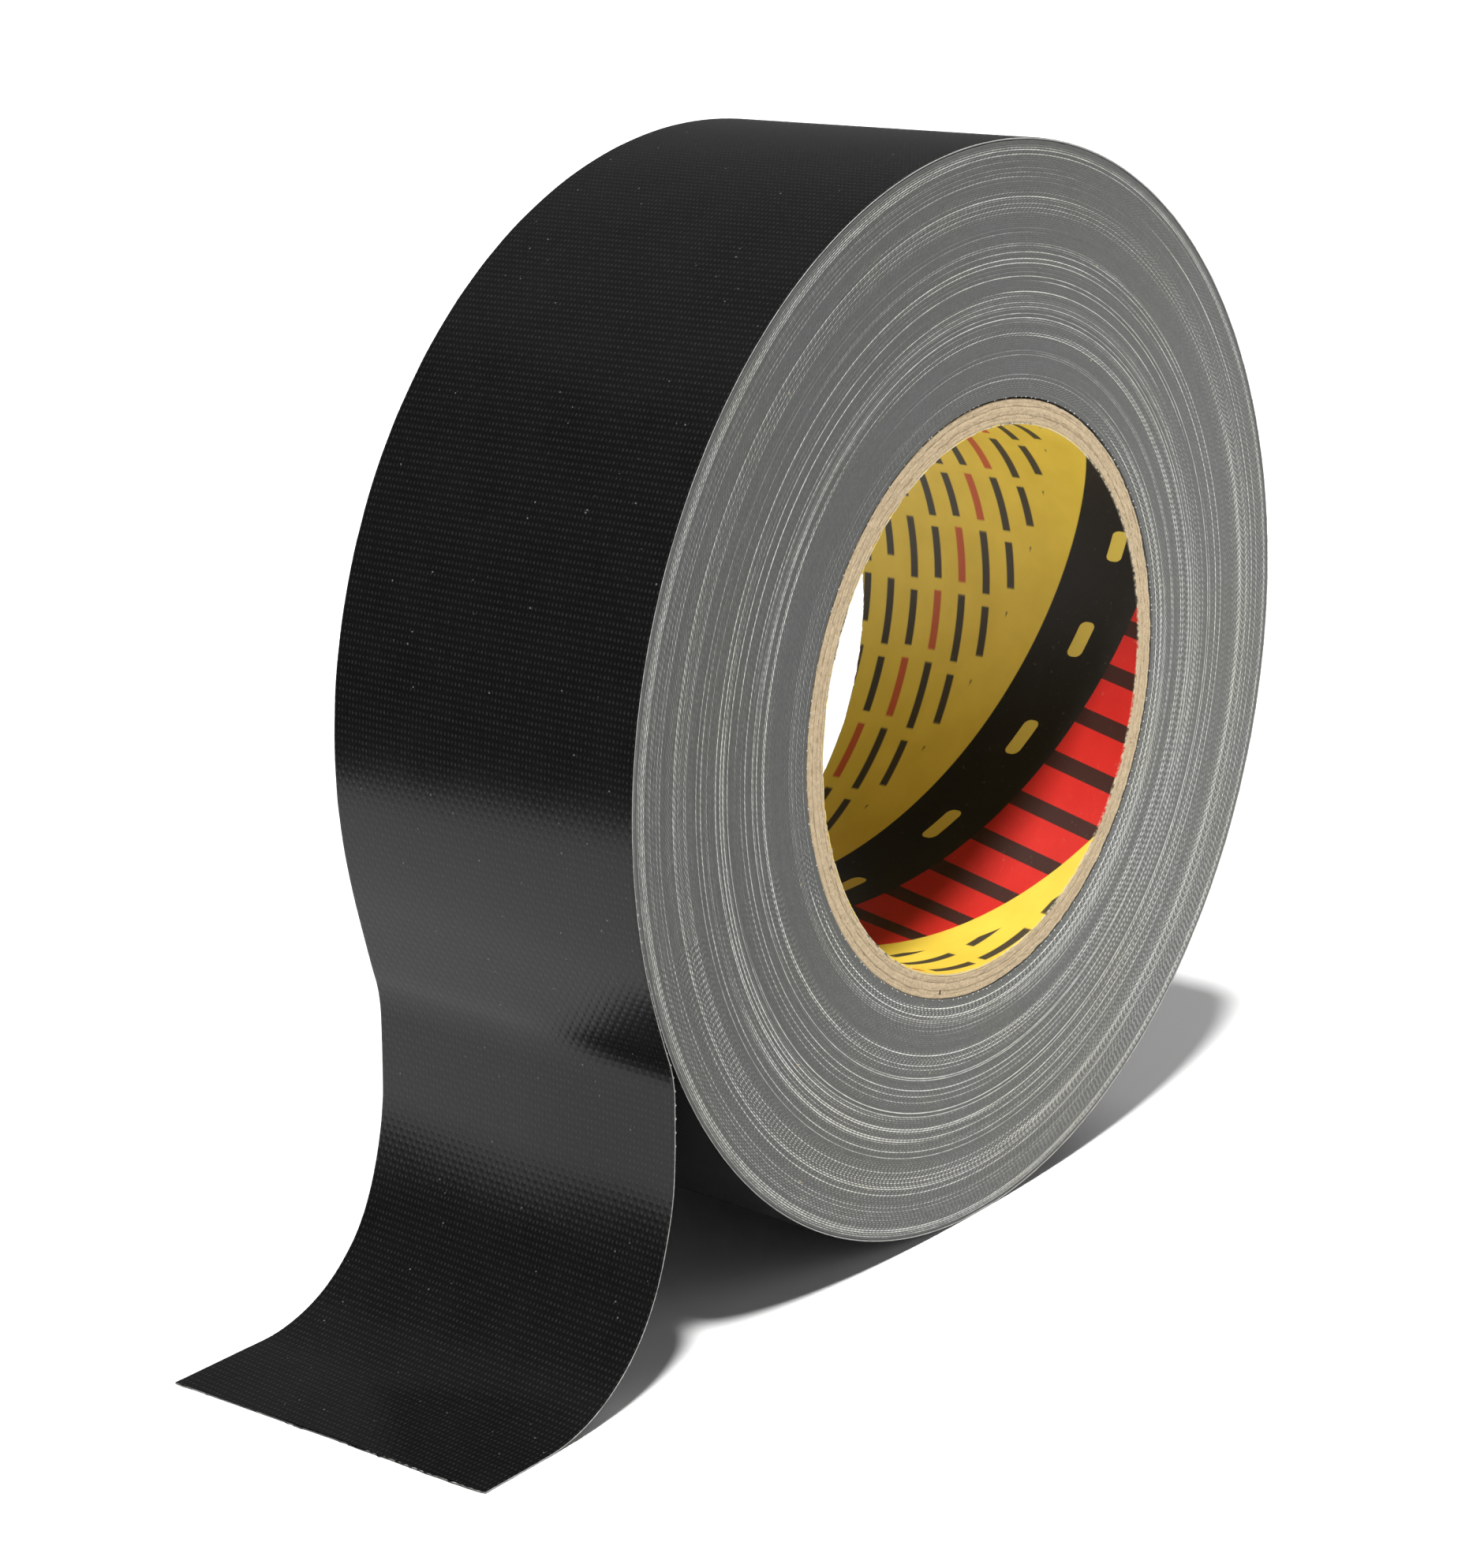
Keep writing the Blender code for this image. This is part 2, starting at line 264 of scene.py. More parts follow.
def turns_paint():
    """The wound edge: each turn's black film line and thread ends, from the spiral itself."""
    p = Paint("turn_edges")
    place = p.place()
    # the tone attribute holds painted shade: darker towards the upper left and lighter towards the lower
    # right, as seen from the front
    tone = p.attribute("tone", "Fac")
    woven = p.attribute("woven", "Fac")
    # which turn a point is in (lane), and how far it is from that turn's middle (off, 0 to 0.5)
    x, _, z = p.split(place)
    high = p.math("SUBTRACT", z, AXIS_Z / MM)
    radius = p.math("SQRT", p.math("ADD", p.math("MULTIPLY", x, x), p.math("MULTIPLY", high, high)))
    angle = p.math("SUBTRACT", p.math("ARCTAN2", high, x), FIRST)
    share = p.math("DIVIDE", p.math("FLOORED_MODULO", angle, TAU), TAU)
    out = p.math("DIVIDE", p.math("SUBTRACT", radius, PACK_INSIDE / MM), TURN_PITCH / MM)
    turn = p.math("SUBTRACT", out, share)
    lane = p.math("FLOOR", turn)
    off = p.math("ABSOLUTE", p.math("SUBTRACT", p.math("SUBTRACT", turn, lane), 0.5))
    # thread ends along each turn, starting at a random place
    own = p.add("TexWhiteNoise", {"W": lane}, noise_dimensions="1D").outputs[0]
    run = p.math("MULTIPLY", p.math("MULTIPLY", share, radius), TAU / THREAD_STEP)
    beat = p.math("COSINE", p.math("MULTIPLY", p.math("ADD", run, own), TAU))
    ends = p.math("MULTIPLY", p.math("ADD", beat, 0.35), p.step(off, 0.42, 0.12))
    film = p.step(off, 0.34, 0.47)
    grain = p.noise(place, 4.5, 3, 0.7)
    patch = p.noise(place, 0.05, 2)
    value = p.math("ADD", tone, p.math("MULTIPLY", p.math("SUBTRACT", grain, 0.5), 0.22))
    value = p.math("ADD", value, p.math("MULTIPLY", p.math("MULTIPLY", ends, woven), 0.26))
    value = p.math("SUBTRACT", value, p.math("MULTIPLY", film, 0.07))
    colour = p.ramp(
        value,
        [
            (0.0, (0.008, 0.008, 0.008)),
            (0.22, (0.028, 0.029, 0.028)),
            (0.45, (0.080, 0.082, 0.079)),
            (0.60, (0.165, 0.167, 0.161)),
            (0.80, (0.50, 0.50, 0.48)),
            (1.0, (0.74, 0.74, 0.72)),
        ],
    )
    warm = p.mix(p.step(patch, 0.35, 0.7), (1.0, 1.0, 0.985), (1.0, 1.0, 0.92))
    colour = p.mix(1.0, colour, warm, "MULTIPLY")
    fleck = p.cells(place, 0.16)
    chosen = p.step(p.split(fleck["Color"])[1], 0.88, 0.89)
    speck = p.math("MULTIPLY", chosen, p.step(fleck["Distance"], 0.04, 0.02))
    colour = p.mix(p.math("MULTIPLY", speck, 0.7), colour, (0.42, 0.33, 0.16))
    roughness = p.math("ADD", p.math("MULTIPLY", grain, 0.25), 0.34)
    return p.finish(colour, roughness, p.bump(value, 0.00010, 0.6), IOR=1.38)


def board_paint():
    """Kraft board: fibres along the turn, clouds, and a darker line where two plies meet at the rim."""
    p = Paint("kraft_board")
    place = p.place()
    fibre = p.noise(p.scale(place, (1.0, 5.0, 1.0)), 2.2, 6, 0.72)
    cloud = p.noise(place, 0.5, 4, 0.6)
    edge = p.attribute("edge", "Fac")
    colour = p.ramp(
        fibre,
        [(0.25, (0.33, 0.245, 0.145)), (0.5, (0.48, 0.37, 0.23)), (0.75, (0.64, 0.52, 0.355))],
    )
    colour = p.mix(p.math("MULTIPLY", p.step(cloud, 0.4, 0.8), 0.35), colour, (0.36, 0.27, 0.17))
    dark_line = p.math("MULTIPLY", edge, p.step(cloud, 0.25, 0.6))
    colour = p.mix(p.math("MULTIPLY", dark_line, 0.3), colour, (0.22, 0.16, 0.095))
    roughness = p.math("ADD", p.math("MULTIPLY", fibre, 0.15), 0.8)
    return p.finish(colour, roughness, p.bump(fibre, 0.00012, 0.9))


def fibre_paint():
    """Torn board fibres."""
    p = Paint("loose_fibre")
    place = p.place()
    tone = p.noise(place, 1.5, 3)
    colour = p.ramp(tone, [(0.3, (0.38, 0.31, 0.22)), (0.7, (0.68, 0.62, 0.50))])
    return p.finish(colour, p.math("ADD", p.math("MULTIPLY", tone, 0.2), 0.7), p.bump(tone, 0.00002, 0.5))


def thread_paint():
    """Loose ends of the cloth's threads."""
    p = Paint("thread_end")
    place = p.place()
    tone = p.noise(place, 2.5, 3)
    colour = p.ramp(tone, [(0.3, (0.36, 0.36, 0.34)), (0.7, (0.74, 0.74, 0.72))])
    return p.finish(colour, p.math("ADD", p.math("MULTIPLY", tone, 0.2), 0.6), p.bump(tone, 0.00002, 0.5))


def liner_paint():
    """Printed paper in the strip's own flat coordinates: plain bands and rows of plain bars."""
    p = Paint("printed_liner")
    flat = p.attribute("print")              # along the bore's turn, along the axis, across the strip: mm
    s, y, q = p.split(flat)
    paper = p.noise(flat, 1.3, 5, 0.65)
    blot = p.noise(flat, 0.11, 3)

    def bars(row_pitch, slope, start, height, spans, every):
        """1 where there is ink: bars in rows row_pitch apart, the same again after every mm along a row."""
        across = p.math("DIVIDE", p.math("ADD", y, p.math("MULTIPLY", s, slope)), row_pitch)
        number = p.math("FLOOR", across)
        offset = p.math("ABSOLUTE", p.math("SUBTRACT", p.math("SUBTRACT", across, number), 0.5))
        middle = p.math("MULTIPLY", p.math("ADD", number, 0.5), row_pitch)
        begin = p.math("DIVIDE", p.math("SUBTRACT", start / STRIP_COS, middle), STRIP_SLOPE - slope)
        along = p.math("SUBTRACT", s, begin)
        share = p.math("DIVIDE", p.math("FLOORED_MODULO", along, every), every)
        stops = [(0.0, 0.0)]
        for low, high in spans:
            for at, ink in ((low, 1.0), (high, 0.0)):
                stops.append(((at - 0.12) / every, 1.0 - ink))
                stops.append(((at + 0.12) / every, ink))
        inked = p.ramp(share, stops)
        return p.math("MULTIPLY", inked, p.step(offset, height / 2 + 0.03, height / 2 - 0.03))

    dark_bars = ((0.4, 8.2), (10.2, 20.8), (34.2, 43.0), (45.0, 55.6))      # from and to, in mm along a row
    red_bars = ((22.8, 32.2),)
    dark = bars(4.4, 0.092, 0.0, 0.30, dark_bars, 59.0)
    red = bars(4.4, 0.092, 0.0, 0.30, red_bars, 59.0)
    yellow = p.ramp(blot, [(0.3, (0.60, 0.430, 0.045)), (0.7, (0.68, 0.495, 0.060))])
    on_yellow = p.mix(p.math("MULTIPLY", dark, 0.98), yellow, (0.035, 0.030, 0.022))
    on_yellow = p.mix(p.math("MULTIPLY", red, 0.9), on_yellow, (0.42, 0.045, 0.02))
    wide = p.step(q, -1.0, -0.8)
    low_band = p.step(q, -39.4, -39.6)
    shown = p.clamp(p.math("ADD", wide, low_band))
    yellow_part = p.mix(shown, yellow, on_yellow)

    # plain marks in the black band: one rounded bar every mark_pitch
    mark_pitch, mark_start, mark_middle = 16.1, 8.0, -13.6
    mark_share = p.math("FLOORED_MODULO", p.math("ADD", s, mark_start), mark_pitch)
    mark_x = p.math("SUBTRACT", p.math("ABSOLUTE", p.math("SUBTRACT", mark_share, mark_pitch / 2)), 1.9)
    mark_y = p.math("SUBTRACT", p.math("ABSOLUTE", p.math("ADD", q, -mark_middle)), 0.2)
    far_x = p.math("MAXIMUM", mark_x, 0.0)
    far_y = p.math("MAXIMUM", mark_y, 0.0)
    far = p.math("SQRT", p.math("ADD", p.math("MULTIPLY", far_x, far_x), p.math("MULTIPLY", far_y, far_y)))
    mark = p.step(far, 0.98, 0.86)
    black = p.mix(blot, (0.0075, 0.0070, 0.0055), (0.013, 0.012, 0.010))
    black = p.mix(mark, black, (0.64, 0.49, 0.085))

    # plain red band with plain dark slanting stripes, one every stripe_pitch
    stripe_pitch = 7.6
    slant = p.math("ADD", p.math("MULTIPLY", s, 0.98), p.math("MULTIPLY", y, -0.20))
    into = p.math("FLOORED_MODULO", slant, stripe_pitch)
    stripe = p.math("ABSOLUTE", p.math("SUBTRACT", into, stripe_pitch / 2))
    red_cloth = p.mix(blot, (0.40, 0.010, 0.008), (0.52, 0.018, 0.012))
    red_band = p.mix(p.step(stripe, 2.45, 2.6), red_cloth, (0.035, 0.010, 0.008))

    # across the strip, in mm: yellow, red from -34.9, black from -19.5, yellow from -6.9
    colour = p.mix(p.step(q, -34.95, -34.75), yellow_part, red_band)
    colour = p.mix(p.step(q, -19.6, -19.4), colour, black)
    colour = p.mix(p.step(q, -6.95, -6.75), colour, yellow_part)
    worn = p.math("MULTIPLY", p.step(paper, 0.62, 0.8), 0.25)
    colour = p.mix(worn, colour, (0.5, 0.42, 0.28))
    rim = p.attribute("edge", "Fac")
    colour = p.mix(p.math("MULTIPLY", rim, p.step(paper, 0.35, 0.6)), colour, (0.55, 0.47, 0.33))
    roughness = p.math("ADD", p.math("MULTIPLY", paper, 0.2), 0.42)
    return p.finish(colour, roughness, p.bump(paper, 0.00003, 0.5), IOR=1.36)


def floor_paint(name, glow=0.0):
    """Matt white studio surface."""
    p = Paint(name)
    place = p.place()
    grain = p.noise(place, 0.02, 2)
    colour = p.mix(grain, (0.80, 0.80, 0.795), (0.82, 0.82, 0.815))
    return p.finish(
        colour, 0.9, p.bump(grain, 0.0001, 0.02), Specular_IOR_Level=0.0,
        Emission_Color=(1, 1, 1, 1), Emission_Strength=glow,
    )


film_material = film_paint()
cloth_material = cloth_paint()
adhesive_material = adhesive_paint()
turns_material = turns_paint()
board_material = board_paint()
fibre_material = fibre_paint()
thread_material = thread_paint()
liner_material = liner_paint()


# ---------------------------------------------------------------- mesh helpers
def make(name, points, faces, material, smooth_angle=40, attributes=None):
    """A mesh object from points in metres; faces are turned outward if they enclose a volume inside out."""
    points = np.asarray(points, float).reshape(-1, 3)
    quads = [f for f in faces if isinstance(f, np.ndarray)]
    others = [list(f) for f in faces if not isinstance(f, np.ndarray)]
    lists = [row for block in quads for row in block.tolist()] + others
    volume = 0.0
    for block in quads:
        a, b, c, d = (points[block[:, k]] for k in range(4))
        volume += np.einsum("ij,ij->", a, np.cross(b, c)) + np.einsum("ij,ij->", a, np.cross(c, d))
    for f in others:
        a = points[f[0]]
        for k in range(1, len(f) - 1):
            volume += a @ np.cross(points[f[k]], points[f[k + 1]])
    if volume < 0:
        lists = [f[::-1] for f in lists]
    mesh = bpy.data.meshes.new(name)
    mesh.from_pydata(points.tolist(), [], lists)
    mesh.validate()
    mesh.polygons.foreach_set("use_smooth", np.ones(len(mesh.polygons), bool))
    mesh.set_sharp_from_angle(angle=math.radians(smooth_angle))
    mesh.materials.append(material)
    for key, values in (attributes or {}).items():
        values = np.asarray(values, np.float32)
        if values.ndim == 1:
            mesh.attributes.new(key, "FLOAT", "POINT").data.foreach_set("value", values)
        else:
            mesh.attributes.new(key, "FLOAT_VECTOR", "POINT").data.foreach_set("vector", values.ravel())
    obj = bpy.data.objects.new(name, mesh)
    bpy.context.scene.collection.objects.link(obj)
    return obj


def sweep(rings):
    """Faces of a closed body from rings of points (rings, points, 3), capped at both ends."""
    count, around = rings.shape[:2]
    index = np.arange(count * around).reshape(count, around)
    here, there = index[:-1], index[1:]
    quads = np.stack(
        [here, there, np.roll(there, -1, 1), np.roll(here, -1, 1)], -1
    ).reshape(-1, 4)
    return [quads, index[0].tolist(), index[-1][::-1].tolist()]


def shell(lattice):
    """The surface of a lattice of points (a, b, c, 3): the points that it uses, and its faces by them."""
    a, b, c = lattice.shape[:3]
    index = np.arange(a * b * c).reshape(a, b, c)
    sides = [
        index[0], index[-1][::-1], index[:, 0][::-1], index[:, -1], index[:, :, 0], index[:, :, -1][::-1],
    ]
    quads = [
        np.stack([s[:-1, :-1], s[1:, :-1], s[1:, 1:], s[:-1, 1:]], -1).reshape(-1, 4) for s in sides
    ]
    quads = np.concatenate(quads)
    used, renamed = np.unique(quads, return_inverse=True)
    return used, renamed.reshape(-1, 4)


def smooth_noise(at, step, seed, spread=1.0):
    """Smooth noise along a line, the same each run: about -spread to spread, changing over step."""
    at = np.asarray(at, float)
    position = at / step
    low = np.floor(position).astype(int)
    part = position - low
    part = part * part * (3 - 2 * part)
    table = np.random.RandomState(seed).uniform(-1, 1, 4096)
    return spread * (table[low % 4096] * (1 - part) + table[(low + 1) % 4096] * part)


def fade(value, low, high):
    """0 below low, 1 above high, smooth between."""
    part = np.clip((value - low) / (high - low), 0, 1)
    return part * part * (3 - 2 * part)


# ---------------------------------------------------------------- the tape's own coordinates
def middle_line():
    """The tail's middle line: distance, x, z and heading, finely stepped."""
    drop = 3                                        # which section is the straight drop
    sections = [                                    # length, and the turn in degrees
        [9.2 * MM, 0.0],
        [3.0 * MM, -3.0],
        [18 * MM * math.radians(18), 18.0],
        [0.0, 0.0],                                 # the straight drop, filled in below
        [33 * MM * math.radians(33), 33.0],
        [22 * MM * math.radians(57), 57.0],
        [12.9 * MM, 0.0],
    ]
    fine = 0.02 * MM

    def run():
        heading = [math.radians(75)]
        for length, turn in sections:
            steps = int(round(length / fine))
            if steps:
                heading += list(heading[-1] + math.radians(turn) * np.arange(1, steps + 1) / steps)
        heading = np.array(heading)
        mean = (heading[1:] + heading[:-1]) / 2
        lengths = np.concatenate([
            np.full(int(round(length / fine)), length / max(1, round(length / fine)))
            for length, _ in sections
        ])
        start = ROLL_RADIUS - THICKNESS / 2
        x = start * math.cos(PEEL) + np.concatenate([[0], np.cumsum(lengths * np.cos(mean))])
        z = AXIS_Z + start * math.sin(PEEL) - np.concatenate([[0], np.cumsum(lengths * np.sin(mean))])
        return np.concatenate([[0], np.cumsum(lengths)]), x, z, heading

    sections[drop][0] = run()[2][-1] - THICKNESS / 2
    return run()


LINE = middle_line()
TAIL_LENGTH = LINE[0][-1]
TURN_LENGTH = TAU * (ROLL_RADIUS - THICKNESS / 2 - PITCH / 2)
ROW_PITCH = TAIL_LENGTH / TAIL_PIECES / 10      # weave rows: ten to each ninth of the tail
COLUMN_PITCH = COLUMN_MM * MM


def strip_points(s, y, outward):
    """Points of the tape: s past the peel line (negative: on the roll), y across, outward from its middle."""
    s, y, outward = np.broadcast_arrays(s, y, outward)
    on_roll = s < 0
    angle = PEEL + np.minimum(s, 0) / TURN_LENGTH * TAU
    radius = ROLL_RADIUS - THICKNESS / 2 - PITCH * (PEEL - angle) / TAU
    press = np.maximum(0, -(radius + THICKNESS / 2) * np.sin(angle) - AXIS_Z)
    x_roll = (radius + outward) * np.cos(angle)
    z_roll = AXIS_Z + (radius + outward) * np.sin(angle) + press
    beyond = np.maximum(s - TAIL_LENGTH, 0)
    heading = np.interp(s, LINE[0], LINE[3])
    x_tail = np.interp(s, LINE[0], LINE[1]) + beyond * np.cos(heading) - outward * np.sin(heading)
    z_tail = np.interp(s, LINE[0], LINE[2]) - beyond * np.sin(heading) - outward * np.cos(heading)
    return np.stack([np.where(on_roll, x_roll, x_tail), y, np.where(on_roll, z_roll, z_tail)], -1)


def dots(s, y):
    """The cloth's thread crossings, staggered row to row: 0 to 1."""
    row = np.cos(math.pi * s / ROW_PITCH)
    return np.maximum(np.cos(TAU * y / COLUMN_PITCH) * np.sign(row), 0) ** 1.6 * np.abs(row) ** 2


def wave(s, y):
    """Slow unevenness of the whole strip off its middle line, nothing at the peel line and at the floor."""
    on_tail = fade(s, 4 * MM, 14 * MM) * (1 - fade(s, 50 * MM, 64 * MM))
    front = fade(-y, 0 * MM, HALF_WIDTH)
    # the front edge stays on the roll for longer, until it is as deep as deepest
    follow = 0.93 * np.maximum(s, 0) ** 2 / (2 * ROLL_RADIUS)
    deepest = 0.9 * MM
    dent = -deepest * front * np.tanh(follow / deepest) * (1 - fade(s, 24 * MM, 56 * MM))
    belly = 0.42 * MM * np.exp(-(((s - 36 * MM) / (7.5 * MM)) ** 2))
    ripple = 0.03 * MM * np.sin(s / (5.2 * MM) + 1.0) * np.cos(y / (15 * MM) + 0.6)
    return dent + on_tail * (belly + ripple)


def tip_end(y):
    """How far the cut end lies past the middle line's end: the cut slants and is finely toothed."""
    slant = -1.9 * MM * (-y / HALF_WIDTH)
    teeth = 0.16 * MM * np.abs((np.asarray(y) / (0.62 * MM)) % 2 - 1)
    ragged = smooth_noise(y, 0.5 * MM, 11, 0.12 * MM) + smooth_noise(y, 4 * MM, 12, 0.16 * MM)
    return slant + teeth + ragged


FILM_COLUMNS = 182                      # points across the film
film_y = np.linspace(-HALF_WIDTH, HALF_WIDTH, FILM_COLUMNS + 1)
film_y = np.sort(np.concatenate([film_y, [-HALF_WIDTH + 0.08 * MM, HALF_WIDTH - 0.08 * MM]]))


def stretch_rows(rows, y, last):
    """Row distances for each column; on the last piece the rows spread out to meet the slanting cut end."""
    s = np.repeat(rows[:, None], len(y), 1)
    if last:
        share = (s - rows[0]) / (rows[-1] - rows[0])
        s = s + share * tip_end(y)[None, :]
    return s


def film_rings(rows, last=False):
    """The film's cross-section at each row: pitted on top, plain below."""
    s = stretch_rows(rows, film_y, last)
    y = np.repeat(film_y[None, :], len(rows), 0)
    pit = dots(s, y)
    edge = fade(np.abs(y), HALF_WIDTH - 0.2 * MM, HALF_WIDTH)
    height = THICKNESS / 2 - 0.020 * MM * pit - 0.03 * MM * edge + wave(s, y)
    height = height + smooth_noise(s + 0.2, 7 * MM, 5, 0.012 * MM) * np.cos(y / (9 * MM))
    uneven = smooth_noise(s + 0.5, 3 * MM, 6, 0.03 * MM)
    top = strip_points(s, y + uneven * np.sign(y) * edge, height)
    ends = np.array([HALF_WIDTH, -HALF_WIDTH])
    under_s = stretch_rows(rows, ends, last)
    under = strip_points(under_s, ends[None, :], THICKNESS / 2 - FILM + wave(under_s, ends[None, :]))
    rings = np.concatenate([top, under], 1)
    every_s = np.concatenate([s, under_s], 1)
    every_y = np.concatenate([y, np.repeat(ends[None, :], len(rows), 0)], 1)
    tape = np.stack([every_s, every_y, np.zeros_like(every_s)], -1)
    return rings, {"tape": tape.reshape(-1, 3)}


def thread_reach(s, side):
    """How far the cut threads reach past the film's edge."""
    beat = 0.5 + 0.5 * np.cos(TAU * s / ROW_PITCH)
    reach = 0.03 * MM + 0.05 * MM * beat + smooth_noise(s + 0.7, 0.8 * MM, 21 + side, 0.025 * MM)
    if side < 0:                                   # front edge near the peel line: longer ends, further apart
        near = fade(s, -16 * MM, -8 * MM) * (1 - fade(s, 20 * MM, 28 * MM))
        long_ends = np.maximum(0, np.cos(TAU * s / (2 * ROW_PITCH))) ** 6
        reach = reach + near * 0.24 * MM * long_ends
    return np.maximum(reach, 0.005 * MM)


def cloth_rings(rows, last=False):
    """The cloth's cross-section at each row; its cut threads reach past the film on both sides."""
    top = THICKNESS / 2 - FILM - 0.005 * MM
    bottom = -THICKNESS / 2 + ADHESIVE + 0.005 * MM
    across = np.linspace(-HALF_WIDTH, HALF_WIDTH, 42)
    low, high = across[0], across[-1]
    front, behind = thread_reach(rows, -1), thread_reach(rows, 1)
    flat = [np.full(len(rows), y) for y in across]
    columns = flat + [high + behind] + flat[::-1] + [low - front]
    heights = [top] * len(flat) + [(top + bottom) / 2] + [bottom] * len(flat) + [(top + bottom) / 2]
    y = np.stack(columns, 1)
    s = np.repeat(rows[:, None], y.shape[1], 1)
    if last:
        share = (s - rows[0]) / (rows[-1] - rows[0])
        s = s + share * (tip_end(y) + 0.05 * MM)
    rings = strip_points(s, y, np.array(heights)[None, :] + wave(s, y))
    return rings, {"tape": np.stack([s, y, np.zeros_like(s)], -1).reshape(-1, 3)}


def adhesive_rings(rows, last=False):
    """The adhesive's cross-section at each row, with the weave's relief below."""
    top = -THICKNESS / 2 + ADHESIVE
    bottom = -THICKNESS / 2
    across = np.linspace(-HALF_WIDTH, HALF_WIDTH, 93)
    y = np.repeat(np.concatenate([across, [HALF_WIDTH, -HALF_WIDTH]])[None, :], len(rows), 0)
    s = np.repeat(rows[:, None], y.shape[1], 1)
    if last:
        share = (s - rows[0]) / (rows[-1] - rows[0])
        s = s + share * tip_end(y)
    relief = 0.012 * MM * np.maximum(np.cos(TAU * y / COLUMN_PITCH), np.cos(TAU * s / ROW_PITCH))
    height = np.where(np.arange(y.shape[1])[None, :] < len(across), bottom + 0.012 * MM + relief, top)
    rings = strip_points(s, y, height + wave(s, y))
    return rings, {"tape": np.stack([s, y, np.zeros_like(s)], -1).reshape(-1, 3)}


# ---------------------------------------------------------------- the last turn
def turn_rows(per_pitch):
    """Rows over the last turn, per_pitch to each weave row, so that a row falls on each crossing."""
    rows = -np.arange(math.floor(TURN_LENGTH / ROW_PITCH * per_pitch) + 1)[::-1] * ROW_PITCH / per_pitch
    rows[0] = -TURN_LENGTH
    return rows


LAYERS = {
    "film": (film_rings, film_material),
    "cloth": (cloth_rings, cloth_material),
    "adhesive": (adhesive_rings, adhesive_material),
}
for layer, end_name, per_pitch in (("film", "skin", 2), ("cloth", "weave", 4), ("adhesive", "coat", 2)):
    builder, material = LAYERS[layer]
    rings, values = builder(turn_rows(per_pitch))
    piece = make(f"outer_turn_{layer}_{end_name}", rings, sweep(rings), material, attributes=values)
    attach(piece, "roll")
    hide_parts(f"outer_turn_{layer}")


ninth = TAIL_LENGTH / TAIL_PIECES
for k in range(1, TAIL_PIECES + 1):
    hinge = (k - 1) * ninth
    begin = 0.0 if k == 1 else hinge - ninth / 2
    end = TAIL_LENGTH if k == TAIL_PIECES else hinge + ninth / 2
    steps = round((end - begin) / ROW_PITCH * 4)
    rows = begin + (end - begin) * np.arange(steps + 1) / steps
    for layer, (builder, material) in LAYERS.items():
        rings, values = builder(rows, k == TAIL_PIECES)
        piece = make(f"tail_{k}_{layer}_sheet", rings, sweep(rings), material, attributes=values)
        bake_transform(piece)
        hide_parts(f"tail_{k}_{layer}")


# ---------------------------------------------------------------- the wound turns, half the width each
AROUND = 800                            # points round each turn
NAMED_ARCS = (                          # four arcs that the photo shows best: start, reach, brightness
    (TURNS - 4.5, 1.2, 0.75),
    (TURNS - 3.2, 0.9, 0.5),
    (55.2, 0.9, 0.8),
    (91.6, 0.7, 0.7),
)


def arc(length, start, reach, ends):
    """1 along reach from start, fading over ends at both."""
    return fade(length, start, start + ends) * (1 - fade(length, start + reach - ends, start + reach))


def arcs(length, style):
    """Where an edge thread shows: brightness along the whole wound strip, its length counted in turns."""
    bright = np.zeros_like(length)
    for _ in range(70):
        start = style.uniform(1, TURNS - 1.5)
        reach = style.uniform(0.12, 0.75)
        amount = 0.22 + 0.78 * style.uniform() ** 1.3
        ends = style.uniform(0.03, 0.10)
        for _copy in range(style.randint(1, 4)):
            bright = np.maximum(bright, amount * arc(length, start, reach, ends))
            start += style.choice([2, 2, 3, 5]) + style.uniform(-0.06, 0.06)
            amount *= style.uniform(0.6, 1.0)
    for start, reach, amount in NAMED_ARCS:
        bright = np.maximum(bright, amount * arc(length, start, reach, 0.1))
    return bright


